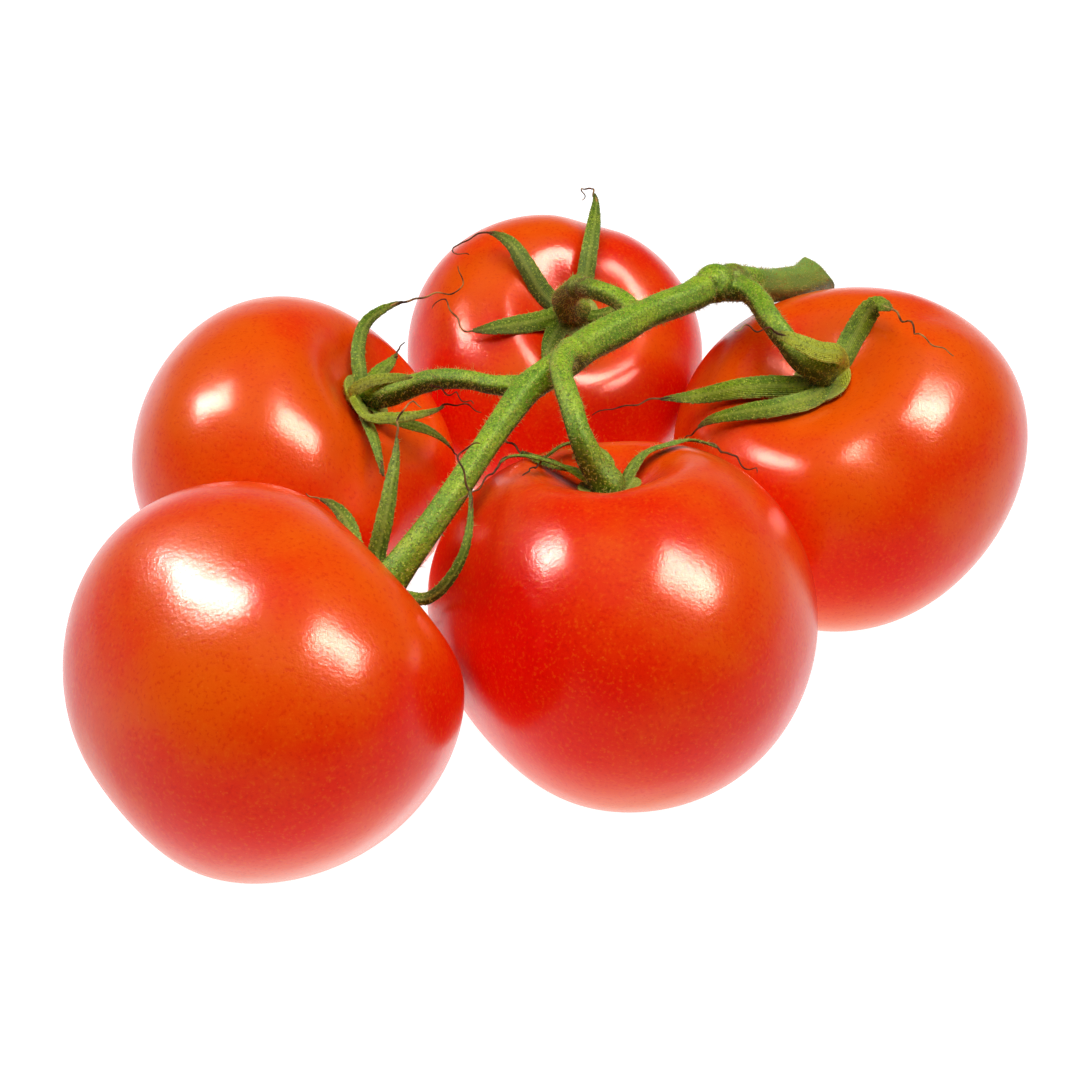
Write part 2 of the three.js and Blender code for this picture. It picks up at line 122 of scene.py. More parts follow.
# Sepals: blade width, where along its route the blade ends, the way it faces if not straight off its
# fruit, how long it holds its width, how pale it is, and its route.
SEPALS = {
    1: [
        dict(width=3.6, blade=0.72, facing=(0.3, -0.8, 0.5), route=[
            (-35.8, -45.5, 47.5), (-35.6, -42.5, 51), (-34.6, -39, 56.5), (-33.8, -31, 63.5),
            (-33.8, -23, 68), (-31.9, -20.2, 69), (-30.6, -21, 68)]),
        dict(width=4.4, blade=0.9, facing=(-0.2, -0.7, 0.6), route=[
            (-36.5, -45, 47), (-40, -37.7, 48.5), (-42, -31.7, 50), (-45, -28, 51), (-50, -26, 51.5)]),
        dict(width=2.4, blade=0.75, facing=(0.4, -0.7, 0.6), route=[
            (-35, -47, 46.5), (-31.4, -48, 48.2), (-26, -51, 50.5), (-22.4, -51, 55), (-20.2, -48.5, 60),
            (-20.4, -41, 65.5), (-22.8, -36.5, 69), (-21, -35, 70), (-19.3, -33.8, 70)]),
        dict(width=3.2, blade=0.8, route=[
            (-34.5, -45, 46), (-30.5, -39.5, 41.5), (-29, -34.5, 34), (-29.5, -31.5, 27)]),
        dict(width=3.2, blade=0.8, route=[
            (-35.5, -45, 46.5), (-35.5, -37.5, 44.5), (-37, -31, 40), (-39.5, -26, 34)]),
    ],
    2: [
        dict(width=3.4, blade=0.6, route=[
            (2.5, -24, 55.2), (-0.5, -21.7, 57.2), (-6.5, -20.5, 58), (-13.4, -12.5, 55.2),
            (-17.9, -9, 55.5), (-19.5, -11.5, 53.5), (-20.5, -15.5, 53)]),
        dict(width=3, blade=0.7, route=[
            (4.5, -24, 55.2), (8.4, -17.7, 59.6), (12.8, -15.5, 60.8), (17.3, -13.5, 60.8),
            (22.2, -17, 61.6), (28.2, -24.5, 62)]),
        dict(width=2.6, blade=0.7, route=[
            (3.5, -23, 55.2), (2, -16.5, 58.2), (-1.5, -13.5, 58.4), (-5, -13.5, 58), (-8.5, -20, 59.2),
            (-12, -30.5, 62)]),
        dict(width=2, blade=0.65, route=[
            (2.5, -24.5, 55.4), (-6, -22.7, 59.5), (-14.4, -24.2, 61.6), (-18.4, -33, 62),
            (-22.4, -37.5, 60.5)]),
    ],
    3: [
        dict(width=5.4, blade=0.55, facing=(0.1, -0.75, 0.65), hold=3.2, route=[
            (46.5, 21.5, 55.7), (48.5, 23, 58), (51.5, 27, 63.3), (53.5, 28.5, 67.5), (55, 27.5, 69.5),
            (58.5, 22.5, 69.8), (62, 14.5, 69.5), (68, 14, 67)]),
        dict(width=5.2, blade=0.7, facing=(-0.1, -0.65, 0.75), hold=1.7, route=[
            (45, 20.5, 55.2), (41, 19, 54.8), (35, 18.5, 54.5), (29, 18.5, 53.5), (21, 20, 50),
            (12.5, 19, 49), (6.5, 17.5, 48), (0, 15.5, 46.5)]),
        dict(width=4.6, blade=0.85, facing=(-0.1, -0.55, 0.8), hold=1.8, route=[
            (46, 19.5, 55.2), (43.5, 15.5, 54.8), (36.5, 12, 54), (29, 12.5, 51.5), (23, 14, 48),
            (19, 16.5, 41)]),
        dict(width=4.8, blade=0.75, facing=(0.3, -0.6, 0.8), hold=2.6, pale=0.9, route=[
            (47.8, 20.9, 55.8), (48.6, 20.8, 60), (47.5, 19.3, 62.4), (42.7, 16.7, 64.3),
            (36.8, 16.7, 66.5), (31.7, 16.4, 68), (27.8, 16.4, 68.5), (25.9, 15.2, 67.5)]),
    ],
    4: [
        dict(width=4.4, blade=0.75, facing=(0.2, -0.8, 0.5), route=[
            (-4, 52, 50.8), (-3, 55.5, 55), (-2.3, 60.5, 61), (-1.7, 68, 65), (-1.8, 75.7, 66.5),
            (-3.1, 80.6, 66.5), (-5.1, 78, 66.5), (-4.7, 74, 66.5)]),
        dict(width=4.9, blade=0.65, facing=(-0.3, -0.7, 0.6), hold=1.7, route=[
            (-5.5, 51.5, 50.8), (-11, 51, 53.5), (-16, 53.5, 59.5), (-20, 57, 63), (-24.5, 59.5, 63.5),
            (-30, 58, 62), (-31.5, 54, 61), (-28.5, 51.5, 61.5)]),
        dict(width=4.9, blade=0.65, facing=(-0.2, -0.75, 0.6), hold=2.0, route=[
            (-5.5, 51, 50.8), (-12, 45, 51), (-20, 40, 51.5), (-27.5, 39.5, 50.5), (-30.5, 42, 52.5),
            (-32.5, 45, 54.5), (-35, 43.5, 52.5)]),
        dict(width=5.2, blade=0.95, route=[
            (-5, 50, 50.8), (-7.5, 45.5, 50), (-9.5, 39, 48.8), (-10.5, 33, 45.5)]),
        dict(width=3.4, blade=0.9, route=[
            (-4, 50.5, 50.8), (0.5, 48.5, 51.5), (5, 49, 53.5), (8, 52, 54)]),
    ],
    5: [
        dict(width=3.6, blade=0.6, facing=(0.5, -0.7, 0.5), route=[
            (-45.8, 14, 48.5), (-46.5, 16, 51.5), (-47.4, 20, 54.5), (-46.9, 26.9, 57),
            (-43.3, 33.8, 57.5), (-37.2, 38.7, 57.5), (-32.3, 41.8, 57.5), (-28.4, 42.6, 59),
            (-30, 45.6, 62)]),
        dict(width=4, blade=0.8, route=[
            (-45, 14.5, 48.5), (-43.5, 20, 49.5), (-41, 25, 50.5), (-39.5, 29.5, 52)]),
        dict(width=3.4, blade=0.8, pale=0.5, route=[
            (-46, 12.5, 48.5), (-45.5, 5, 51.5), (-42, -1.5, 53), (-36.4, -2.5, 54), (-31, -0.7, 54.5),
            (-26.6, 2.8, 54.5), (-21.4, 3.2, 53)]),
        dict(width=3.2, blade=0.85, route=[
            (-44.5, 12, 47.5), (-40.5, 7.5, 47.5), (-36, 6, 47.3), (-32, 6.3, 46), (-28.8, 7.5, 43),
            (-26, 9.5, 37.5)]),
        dict(width=4, blade=0.9, route=[
            (-45.5, 11.5, 48), (-44, 4, 50.2), (-40.8, -5.5, 50.5), (-38.8, -11, 48),
            (-37.3, -13.5, 44.5)]),
        dict(width=3, blade=0.55, facing=(-0.1, -0.6, 0.8), hold=2, pale=0.5, route=[
            (-46.5, 11.5, 48), (-47.5, 9.5, 51), (-44, 9, 54.2), (-39, 8.3, 56), (-34, 5.5, 57.8),
            (-28.5, 1, 58.5), (-22.5, -4, 59)]),
    ],
}

# How dark the green of each calyx is.
CALYX_SHADES = {1: 0.25, 2: 0.15, 3: 0.0, 4: 0.4, 5: 0.15}

# The vine: points of each stretch as (x, y, z, radius).
MAIN_STEM = [
    (56, 76, 55, 5.4), (49, 67, 56.3, 4.4), (44.5, 59.5, 57.8, 3.5), (36.5, 51.5, 60, 3.6),
    (29.5, 44.5, 63.5, 3.8), (23.5, 39, 65.5, 3.7), (18, 31.5, 66, 3), (10, 24, 66, 3),
    (4, 16.5, 66, 3.3), (-2, 9, 66, 3.3), (-7, 1, 65.5, 3.1), (-12.5, -5, 64, 2.8),
    (-16.5, -13.5, 62, 2.4), (-20, -22, 60, 2.3), (-23.5, -30, 57.5, 2.3), (-27, -36.5, 54.5, 2.4),
    (-31, -42, 50.5, 2.7), (-34, -45.4, 46.8, 3.1),
]
STALKS = {
    2: [(-4, 5, 66, 2.6), (-6.5, -1.5, 68.8, 2.4), (-6.8, -9, 69.5, 2), (-5, -16.2, 68.2, 2),
        (-2.9, -21.1, 65, 2.1), (-0.4, -22.7, 60.5, 2.5), (2.9, -23.8, 56.8, 3)],
    3: [(25, 41, 64.5, 2.8), (30.5, 37, 65.5, 2.4), (34, 26.5, 65, 2.3), (37.5, 22.5, 62.5, 2.3),
        (41, 20.3, 60, 2.9), (43.6, 20.3, 59, 3.2), (44.8, 20.8, 57.3, 3.3)],
    4: [(8, 22, 65.5, 2.4), (3.5, 28.4, 66, 2.1), (-1, 31.5, 66, 2), (-4.7, 36.8, 63.5, 2.2),
        (-6.8, 41.7, 58.5, 2.6), (-6.3, 46, 54, 3), (-4.3, 50, 51.2, 3.3)],
    5: [(-11, -4, 64, 2.2), (-18.8, -3.2, 63, 1.8), (-23.7, 0.4, 61.5, 1.8), (-29.6, 4.1, 59, 2),
        (-34.7, 7, 55.5, 2.2), (-39.7, 9, 52, 2.6), (-44.3, 13, 48.8, 3)],
}
CUT_CENTRE = (49.4, 68.4, 56)
CUT_DIRECTION = (0.6, 0.4, 0.7)
MAIN_STEM_SIDES = 24
STALK_SIDES = 20
STEM_STEPS = 16
STEM_FEWEST_RINGS = 24
STEM_RINGS_BY_STEP = 1.2
STEM_SWAY = 0.18
STEM_UNEVENNESS = 0.05
STEM_RIDGES = 5
STEM_RIDGE_HEIGHT = 0.05
STEM_END_SHARES = (0.4, 0.75, 0.95)
MAIN_STEM_SEED = 3
STALK_SEED = 10

# Swollen joints of the vine, each a lump with its centre and radii.
KNUCKLES = [
    ((23.5, 39.3, 65.6), (4.3, 4.3, 4.0)),
    ((27.2, 41.8, 64.9), (4.2, 4.2, 3.9)),
    ((-5.0, 3.2, 67.2), (3.2, 3.4, 3.1)),
    ((-4.6, 36.4, 63.9), (2.6, 2.7, 2.6)),
]
KNUCKLE_OPENING = 0.12

# Rings where the vine is drawn in, with a thin brown line in each.
RING_CREASES = [
    dict(middle=(21.2, 36.0, 65.8), direction=(0.6, 0.78, 0.0), reach=6.5, depth=0.9, half_width=0.6),
    dict(middle=(-4.3, 35.0, 64.8), direction=(0.55, -0.8, 0.25), reach=4.0, depth=0.3, half_width=0.5),
]
CREASE_CORE = 0.5
CREASE_BROWN = 0.6
CREASE_BROWN_WIDTH = 0.6

# Spots of colour as (x, y, z, reach, amount): where the vine and calyces are brown, and where painted
# shade darkens the vine, in the funnels of its stalks and the crook of stalk 4.
BROWN_SPOTS = [
    (-3.2, 34.5, 65.6, 4.2, 0.9),
    (-6.2, 39.5, 61.0, 3.6, 0.7),
    (27.8, 40.3, 68.4, 2.3, 1.0),
    (1.5, -23.4, 58.0, 2.6, 0.5),
    (43.5, 19.0, 58.0, 2.6, 0.2),
    (4.5, -24.0, 57.0, 2.4, 0.7),
    (14.0, 26.0, 63.0, 2.2, 0.9),
    (10.2, 22.3, 63.0, 1.6, 0.7),
    (18.5, 30.0, 63.2, 1.6, 0.6),
]
PAINTED_SHADE_SPOTS = [
    (40.5, 20.3, 59.8, 4.2, 0.8),
    (44.0, 20.0, 57.5, 3.6, 0.8),
    (-5.5, 44.0, 55.5, 4.0, 0.5),
    (-41.5, 10.5, 50.5, 4.5, 0.45),
    (0.5, -23.0, 59.0, 3.5, 0.35),
]

# From here to its cut the vine is plainer and duller, by this much after this many millimetres.
STUB_START = (30.5, 46.5, 62.5)
STUB_PLAINNESS = 0.8
STUB_FADE = 3

# How finely overlapping parts are melted into one skin, and how much that is smoothed, and how often.
VINE_MELT = dict(voxel=0.3, smoothing=0.5, rounds=7)
CALYX_MELT = dict(voxel=0.21, smoothing=0.4, rounds=3)

# Down. The rings of a hair are shares of its length and of its girth, and a few hairs are longer.
HAIR_LEAN = 0.35
HAIR_BEND = 0.3
LONG_HAIR_SHARE = 0.06
LONG_HAIR = 1.9
HAIR_SIDES = 3
HAIR_RINGS = ((-0.08, 1.0), (0.5, 0.75), (1.0, 0.25))
CALYX_DOWN = dict(count=1100, lengths=(0.22, 0.5), girth=0.035)
CALYX_DOWN_SEED = 40
VINE_DOWN = dict(count=6500, seed=7, lengths=(0.3, 0.75), girth=0.038)
VINE_RUSTY_DOWN = dict(count=3000, seed=8, lengths=(0.3, 0.75), girth=0.04)


def unit(v):
    v = np.asarray(v, float)
    return v / np.linalg.norm(v, axis=-1, keepdims=True)


def bump(x):
    """A rounded hill that is 1 at x = 0."""
    return np.exp(-x * x)


def turns_round(sides):
    """Equal angles round a circle."""
    return np.linspace(0, 2 * math.pi, sides, endpoint=False)


# Meshes from arrays

def make_mesh(name, points, faces, attributes=None):
    """A smooth-shaded mesh object; points in millimetres, attributes are floats by point."""
    mesh = bpy.data.meshes.new(name)
    mesh.from_pydata((np.asarray(points) * MM).tolist(), [], [list(map(int, f)) for f in faces])
    mesh.validate()
    for key, values in (attributes or {}).items():
        set_attribute(mesh, key, values)
    mesh.shade_smooth()
    made = bpy.data.objects.new(name, mesh)
    bpy.context.scene.collection.objects.link(made)
    return made


def set_attribute(mesh, key, values):
    layer = mesh.attributes.new(key, "FLOAT", "POINT")
    layer.data.foreach_set("value", np.asarray(values, np.float32))


def points_of(obj):
    flat = np.zeros(len(obj.data.vertices) * 3, np.float32)
    obj.data.vertices.foreach_get("co", flat)
    return flat.reshape(-1, 3).astype(float) / MM


def join_parts(parts):
    """Several (points, faces) as one."""
    points, faces, start = [], [], 0
    for part_points, part_faces in parts:
        points.append(part_points)
        faces.extend([tuple(i + start for i in face) for face in part_faces])
        start += len(part_points)
    return np.vstack(points), faces


def tube_faces(rings, sides):
    """The walls of a tube, then the cap of its first ring, then that of its last."""
    faces = []
    for r in range(rings - 1):
        for s in range(sides):
            a, b = r * sides + s, r * sides + (s + 1) % sides
            faces.append((a, b, b + sides, a + sides))
    faces.append(tuple(range(sides - 1, -1, -1)))
    faces.append(tuple(range((rings - 1) * sides, rings * sides)))
    return faces


def dress(piece, material, slot, *nodes):
    """Gives a piece its material and body, and hides the nodes that it replaces. The slot is not used."""
    piece.data.materials.append(material)
    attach(piece, "root")
    if nodes:
        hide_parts(*nodes)


# Curves

def spline(points, steps=24):
    """A centripetal Catmull-Rom curve through the points; a fourth column is blended straight."""
    given = np.array(points, float)
    xyz = given[:, :3]
    padded = np.vstack([2 * xyz[0] - xyz[1], xyz, 2 * xyz[-1] - xyz[-2]])
    rows = []
    for i in range(len(xyz) - 1):
        a, b, c, d = padded[i:i + 4]
        ab, bc, cd = (max(np.linalg.norm(q - p), 1e-4) ** 0.5 for p, q in ((a, b), (b, c), (c, d)))
        leave = ((b - a) / ab - (c - a) / (ab + bc) + (c - b) / bc) * bc
        arrive = ((c - b) / bc - (d - b) / (bc + cd) + (d - c) / cd) * bc
        last = i == len(xyz) - 2
        t = np.linspace(0, 1, steps + 1)[: None if last else -1, None]
        place = (b + leave * t + (-3 * b + 3 * c - 2 * leave - arrive) * t ** 2
                 + (2 * b - 2 * c + leave + arrive) * t ** 3)
        rest = given[i, 3:] + (given[i + 1, 3:] - given[i, 3:]) * t
        rows.append(np.hstack([place, rest]))
    return np.vstack(rows)


def resample(curve, count):
    """The curve at equal steps of length."""
    lengths = np.r_[0, np.cumsum(np.linalg.norm(np.diff(curve[:, :3], axis=0), axis=1))]
    wanted = np.linspace(0, lengths[-1], count)
    return np.column_stack([np.interp(wanted, lengths, curve[:, k]) for k in range(curve.shape[1])])


def transport(path):
    """Directions along a path and two across it that don't twist."""
    forward = unit(np.gradient(path, axis=0))
    side = np.zeros_like(path)
    start = np.cross(forward[0], (0.3, 0.2, 0.9))
    for i, ahead in enumerate(forward):
        start = unit(start - ahead * (start @ ahead))
        side[i] = start
    return forward, side, np.cross(forward, side)


def ripple(count, seed, waves, low=1, high=6):
    """A smooth random line between about -1 and 1, of waves that repeat low to high times."""
    rng = np.random.default_rng(seed)
    t = np.linspace(0, 1, count)
    line = sum(rng.uniform(0.4, 1) * np.sin(2 * math.pi * (rng.uniform(low, high) * t + rng.random()))
               for _ in range(waves))
    return line / waves


# Fruits

def axes_of(fruit):
    """The stem axis of a fruit and two directions across it."""
    heading, rise = math.radians(fruit["heading"]), math.radians(fruit["rise"])
    flat = math.cos(rise)
    along = np.array([flat * math.cos(heading), flat * math.sin(heading), math.sin(rise)])
    across = unit(np.cross((0, 0, 1), along))
    return along, across, np.cross(along, across)


def wrapped(turn, direction):
    """How far a turn is from a direction in degrees, the short way round."""
    gap = turn - math.radians(direction)
    return np.arctan2(np.sin(gap), np.cos(gap))


def skin(fruit, polar, turn, lift=0.0):
    """Points of the skin: polar 0 is in the dimple, pi at the far tip."""
    along, across, third = axes_of(fruit)
    sine, cosine = np.sin(polar), np.cos(polar)
    swell = (fruit["oval"][0] * np.cos(2 * (turn - math.radians(fruit["oval"][1])))
             + fruit["threefold"][0] * np.cos(3 * (turn - math.radians(fruit["threefold"][1]))))
    radial = fruit["radius"] * sine * (1 + fruit["shoulder"] * cosine) * (1 + swell * sine)
    depth, width = fruit["dimple"]
    hollow = np.where(polar < math.pi / 2, -depth * bump(sine / width),
                      TIP_HOLLOW_DEPTH * bump(sine / TIP_HOLLOW_WIDTH))
    height = fruit["height"] * fruit["radius"] * (cosine + hollow)
    point = (height[..., None] * along + (radial * np.cos(turn))[..., None] * across
             + (radial * np.sin(turn))[..., None] * third)
    reach = bump((polar - math.radians(GROOVE_MIDDLE)) / math.radians(GROOVE_REACH))
    for direction, groove_depth, half_width in fruit["grooves"]:
        share = 1 - groove_depth * bump(wrapped(turn, direction) / math.radians(half_width)) * reach
        point = point * share[..., None]
    outward = unit(point)
    for middle, direction, spread_along, spread_round, rise in fruit["dents"]:
        hill = rise * (bump((polar - math.radians(middle)) / math.radians(spread_along))
                       * bump(wrapped(turn, direction) * sine / math.radians(spread_round)))
        point = point + outward * hill[..., None]
    return point + outward * lift + np.array(fruit["centre"])


def make_fruit(number, fruit):
    share = np.linspace(0, 1, FRUIT_RINGS + 1)[1:-1] ** RING_CROWDING
    polar, turn = np.meshgrid(share * math.pi, turns_round(FRUIT_SIDES), indexing="ij")
    body = skin(fruit, polar, turn).reshape(-1, 3)
    poles = np.vstack([skin(fruit, np.array([p]), np.array([0.0])) for p in (0.0, math.pi)])
    points = np.vstack([body, poles])
    points[:, 2] = np.maximum(points[:, 2], 0.0)
    rings, sides = polar.shape
    faces = tube_faces(rings, sides)[:-2]
    top, tip = len(body), len(body) + 1
    faces += [(top, (s + 1) % sides, s) for s in range(sides)]
    last = (rings - 1) * sides
    faces += [(tip, last + s, last + (s + 1) % sides) for s in range(sides)]
    warm = np.full(len(points), fruit["warm"])
    attributes = {"polar": np.r_[polar.ravel() / math.pi, 0, 1], "warm": warm}
    made = make_mesh(f"tomato_{number}", points, [f[::-1] for f in faces], attributes)
    dress(made, SKIN, "tomato_skin", f"fruit_{number}")


# Vine

def stem_end(place, ahead, radius, row, shares):
    """The rings that round off one end of a stem."""
    return [(place + ahead * radius * s, radius * math.sqrt(1 - s * s), row) for s in shares]


def stem_part(points, seed, sides):
    """A closed stem with rounded ends, faint ridges and a slightly uneven girth."""
    curve = spline(points, STEM_STEPS)
    count = max(STEM_FEWEST_RINGS, int(len(curve) * STEM_RINGS_BY_STEP))
    curve = resample(curve, count)
    path, radius = curve[:, :3], curve[:, 3]
    sideways = unit(np.cross(np.gradient(path, axis=0), (0.2, 0.3, 0.9)))
    path = path + sideways * (STEM_SWAY * ripple(count, seed, waves=4))[:, None]
    radius = radius * (1 + STEM_UNEVENNESS * ripple(count, seed + 1, waves=5, low=2, high=10))
    forward, side, other = transport(path)
    rows = stem_end(path[0], -forward[0], radius[0], 0, STEM_END_SHARES[::-1])
    rows += [(path[i], radius[i], i) for i in range(count)]
    rows += stem_end(path[-1], forward[-1], radius[-1], -1, STEM_END_SHARES)
    angle = turns_round(sides)
    ridge = 1 + STEM_RIDGE_HEIGHT * np.cos(STEM_RIDGES * angle + seed)
    rings = []
    for place, reach, i in rows:
        out_side = (np.cos(angle) * ridge * reach)[:, None] * side[i]
        out_other = (np.sin(angle) * ridge * reach)[:, None] * other[i]
        rings.append(place + out_side + out_other)
    return np.vstack(rings), tube_faces(len(rings), sides)


def knuckle_part(centre, radii, rings=12, sides=18):
    """A closed rounded lump."""
    levels = np.linspace(KNUCKLE_OPENING, math.pi - KNUCKLE_OPENING, rings)
    polar, turn = np.meshgrid(levels, turns_round(sides), indexing="ij")
    ball = np.stack([np.sin(polar) * np.cos(turn), np.sin(polar) * np.sin(turn), np.cos(polar)], -1)
    return np.array(centre) + ball.reshape(-1, 3) * np.array(radii), tube_faces(rings, sides)


def grow_together(name, parts, voxel, smoothing, rounds):
    """Overlapping closed parts melted into one skin."""
    points, faces = join_parts(parts)
    lump = make_mesh(name, points, faces)
    remesh = lump.modifiers.new("melt", "REMESH")
    remesh.mode = "VOXEL"
    remesh.voxel_size = voxel * MM
    smooth = lump.modifiers.new("smooth", "SMOOTH")
    smooth.factor = smoothing
    smooth.iterations = rounds
    graph = bpy.context.evaluated_depsgraph_get()
    melted = bpy.data.meshes.new_from_object(lump.evaluated_get(graph))
    lump.modifiers.clear()
    lump.data = melted
    melted.shade_smooth()
    return lump


def near_spots(points, spots):
    """How strongly each point lies in the listed spots."""
    share = np.zeros(len(points))
    for x, y, z, reach, amount in spots:
        away = np.linalg.norm(points - np.array([x, y, z]), axis=1)
        share = np.maximum(share, amount * bump(away / reach))
    return share


def ring_of(points, crease, narrowing=1.0):
    """How strongly each point lies in the ring of a crease, and its way out from the stem."""
    direction = unit(crease["direction"])
    away = points - np.array(crease["middle"])
    along = away @ direction
    radial = away - along[:, None] * direction
    distance = np.linalg.norm(radial, axis=1, keepdims=True)
    share = bump(along / (narrowing * crease["half_width"])) * (distance[:, 0] < crease["reach"])
    return share, radial / np.maximum(distance, CREASE_CORE)


def pinch(vine):
    """Draws the surface in along the ring creases."""
    points = points_of(vine)
    for crease in RING_CREASES:
        share, outward = ring_of(points, crease)
        points = points - outward * (crease["depth"] * share)[:, None]
    vine.data.vertices.foreach_set("co", (points * MM).astype(np.float32).ravel())
    vine.data.update()


def cut_end(vine):
    """Slices the picked end off on a slant and closes it with flat faces of the second material."""
    cut = bmesh.new()
    cut.from_mesh(vine.data)
    sliced = bmesh.ops.bisect_plane(
        cut, geom=cut.verts[:] + cut.edges[:] + cut.faces[:], plane_co=Vector(CUT_CENTRE) * MM,
        plane_no=Vector(CUT_DIRECTION).normalized(), clear_outer=True)
    rim = [edge for edge in sliced["geom_cut"] if isinstance(edge, bmesh.types.BMEdge)]
    for face in bmesh.ops.holes_fill(cut, edges=rim)["faces"]:
        face.material_index = 1
        face.smooth = False
    cut.to_mesh(vine.data)
    cut.free()


def paint_vine(vine):
    """Marks where the vine is brown, where painted shade darkens it, or where it is plain as on its stub.
    """
    points = points_of(vine)
    brown = near_spots(points, BROWN_SPOTS)
    for crease in RING_CREASES:
        line, _ = ring_of(points, crease, CREASE_BROWN_WIDTH)
        brown = np.maximum(brown, CREASE_BROWN * line)
    set_attribute(vine.data, "brown", brown)
    set_attribute(vine.data, "shade", near_spots(points, PAINTED_SHADE_SPOTS))
    along_stub = (points - np.array(STUB_START)) @ unit(np.array(CUT_CENTRE) - np.array(STUB_START))
    set_attribute(vine.data, "plain", STUB_PLAINNESS * np.clip(along_stub / STUB_FADE, 0, 1))


def make_vine():
    parts = [stem_part(MAIN_STEM, MAIN_STEM_SEED, MAIN_STEM_SIDES)]
    parts += [stem_part(points, STALK_SEED + number, STALK_SIDES) for number, points in STALKS.items()]
    parts += [knuckle_part(centre, radii) for centre, radii in KNUCKLES]
    vine = grow_together("vine_skin", parts, **VINE_MELT)
    pinch(vine)
    cut_end(vine)
    paint_vine(vine)
    dress(vine, GREEN, "vine_green", "vine")
    vine.data.materials.append(CUT)
    return vine


# Calyces

def pad_part(fruit):
    """The receptacle: a thick dish that follows the floor of the dimple."""
    section = np.array(PAD_SECTION)
    out = np.radians(PAD_REACH) * section[:, 0]
    lift = PAD_GAP + PAD_THICKNESS * section[:, 1]
    turns = turns_round(PAD_SIDES)
    rings = [skin(fruit, np.full(PAD_SIDES, polar), turns, level) for polar, level in zip(out, lift)]
    return np.vstack(rings), tube_faces(len(rings), PAD_SIDES)


def sepal_frames(sepal, fruit, count):
    """A sepal's route in equal steps, with its directions across and up from the blade."""
    path = resample(spline(sepal["route"]), count)
    forward = unit(np.gradient(path, axis=0))
    facing = sepal.get("facing")
    outward = np.tile(facing, (count, 1)) if facing else path - np.array(fruit["centre"])
    side = unit(np.cross(outward, forward))
    return path, side, np.cross(forward, side)


def blade_widths(sepal, along):
    """The width at each share of the route, and the share of the blade that is reached there."""
    share = np.minimum(along / sepal["blade"], 1)
    taper = np.cos(share ** sepal.get("hold", SEPAL_HOLD) * math.pi / 2) ** SEPAL_TAPER
    opening = np.sin(np.minimum(share / SEPAL_WAIST_LENGTH, 1) * math.pi / 2)
    waist = SEPAL_WAIST + (1 - SEPAL_WAIST) * opening
    return THREAD_WIDTH + (sepal["width"] - THREAD_WIDTH) * taper * waist, share


def blade_part(sepal, fruit, seed):
    """The green blade: a thin arched strap with a midrib, narrowing into its thread."""
    path, side, up = sepal_frames(sepal, fruit, BLADE_STEPS)
    along = np.linspace(0, 1, BLADE_STEPS)
    width, share = blade_widths(sepal, along)
    wave = ripple(BLADE_STEPS, seed, waves=4, low=1, high=5)
    angle = turns_round(BLADE_SIDES)
    x, z = np.cos(angle), np.sin(angle)
    rings = []
    for i in np.nonzero(along <= sepal["blade"])[0]:
        thick = 0.5 * SEPAL_THICKNESS * (1 - THINNING_TO_TIP * share[i])
        section = z * thick * (1 - THINNING_TO_EDGE * x ** 2)
        arch = -SEPAL_ARCH * sepal["width"] * x ** 2 * (1 - share[i])
        rib = RIB_HEIGHT * bump(x / RIB_HALF_WIDTH) * np.where(z < 0, RIB_BELOW, RIB_ABOVE) * (1 - share[i])
        roll = wave[i] * x * width[i] * SEPAL_ROLL
        out_side = (x * width[i] / 2)[:, None] * side[i]
        out_up = (section + arch + rib + roll)[:, None] * up[i]
        rings.append(path[i] + out_side + out_up)
    return np.vstack(rings), tube_faces(len(rings), BLADE_SIDES)


def thread_part(sepal, fruit, seed):
    """The dried tip: a fine, slightly kinked thread that ends in a point."""
    path, side, up = sepal_frames(sepal, fruit, THREAD_STEPS)
    along = np.linspace(0, 1, THREAD_STEPS)
    start = sepal["blade"] * THREAD_START
    kink_side, kink_up = (ripple(THREAD_STEPS, s, waves=5, low=3, high=10) for s in (seed, seed + 7))
    angle = turns_round(THREAD_SIDES)
    rings = []
    for i in np.nonzero(along >= start)[0]:
        share = (along[i] - start) / (1 - start)
        radius = 0.5 * (THREAD_WIDTH + (THREAD_TIP_WIDTH - THREAD_WIDTH) * share)
        if i == THREAD_STEPS - 1:
            radius *= 0.5
        kink = THREAD_KINK * min(1, 3 * share)
        place = path[i] + kink * (kink_side[i] * side[i] + kink_up[i] * up[i])
        rings.append(place + radius * (np.cos(angle)[:, None] * side[i] + np.sin(angle)[:, None] * up[i]))
    return np.vstack(rings), tube_faces(len(rings), THREAD_SIDES)


def nearest(points, samples):
    """For each point the index of the nearest sample."""
    tree = KDTree(len(samples))
    for i, sample in enumerate(samples):
        tree.insert(sample, i)
    tree.balance()
    return np.array([tree.find(p)[1] for p in points])


